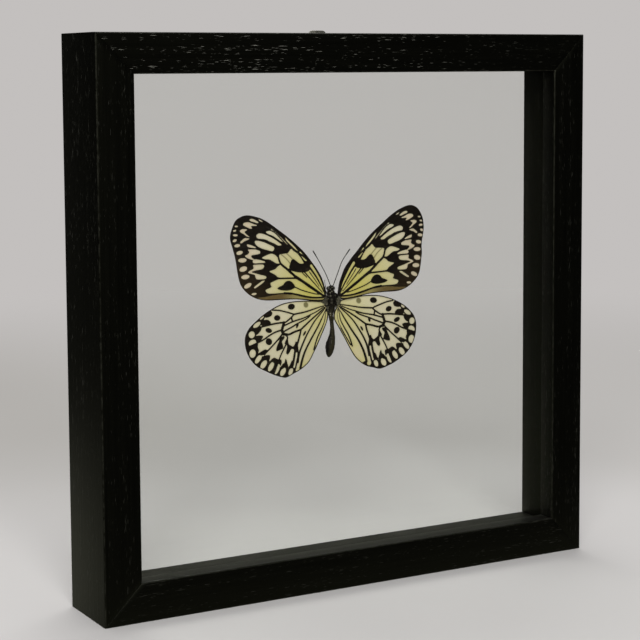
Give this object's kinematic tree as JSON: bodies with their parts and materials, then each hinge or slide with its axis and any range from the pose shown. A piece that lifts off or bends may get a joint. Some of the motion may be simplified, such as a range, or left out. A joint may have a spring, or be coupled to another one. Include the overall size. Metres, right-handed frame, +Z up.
{
  "type": "framed butterfly specimen",
  "caption": "Square black wooden shadow frame glazed front and back, with a spread cream and black butterfly held between the panes and a hanging plate behind.",
  "frame": {"origin": "middle of the underside of the bounding box, which the hanging plate's screws make a little deeper than the frame", "axes": "+Z up the frame, +X to the right seen from the front, +Y from the front glass to the rear glass"},
  "size_m": [0.25, 0.0406, 0.252],
  "materials": {
    "stained_wood": "black-stained open-grained wood, satin",
    "spacer_wood": "dark stained fillet, matte",
    "clear_glass": "polished clear float glass",
    "hanger_metal": "dull passivated zinc plate",
    "point_steel": "plain bright steel",
    "insect_body": "dry dark chitin with fine hair",
    "wing": "dry scaled wing, cream with dark brown markings",
    "clear_glue": "clear set adhesive"
  },
  "bodies": {
    "root": {"rail_bottom": "stained_wood", "rail_left": "stained_wood", "rail_top": "stained_wood", "rail_right": "stained_wood", "spacer_bottom": "spacer_wood", "spacer_left": "spacer_wood", "spacer_top": "spacer_wood", "spacer_right": "spacer_wood", "glazing_point_bottom_1": "point_steel", "glazing_point_bottom_2": "point_steel", "glazing_point_left_1": "point_steel", "glazing_point_left_2": "point_steel", "glazing_point_top_1": "point_steel", "glazing_point_top_2": "point_steel", "glazing_point_right_1": "point_steel", "glazing_point_right_2": "point_steel", "glass_front": "clear_glass", "glass_back": "clear_glass", "hanger_plate": "hanger_metal", "hanger_screw_left": "hanger_metal", "hanger_screw_right": "hanger_metal", "butterfly_body": "insect_body", "forewing_left": "wing", "forewing_right": "wing", "hindwing_left": "wing", "hindwing_right": "wing", "glue_dot": "clear_glue"}
  },
  "joints": []
}
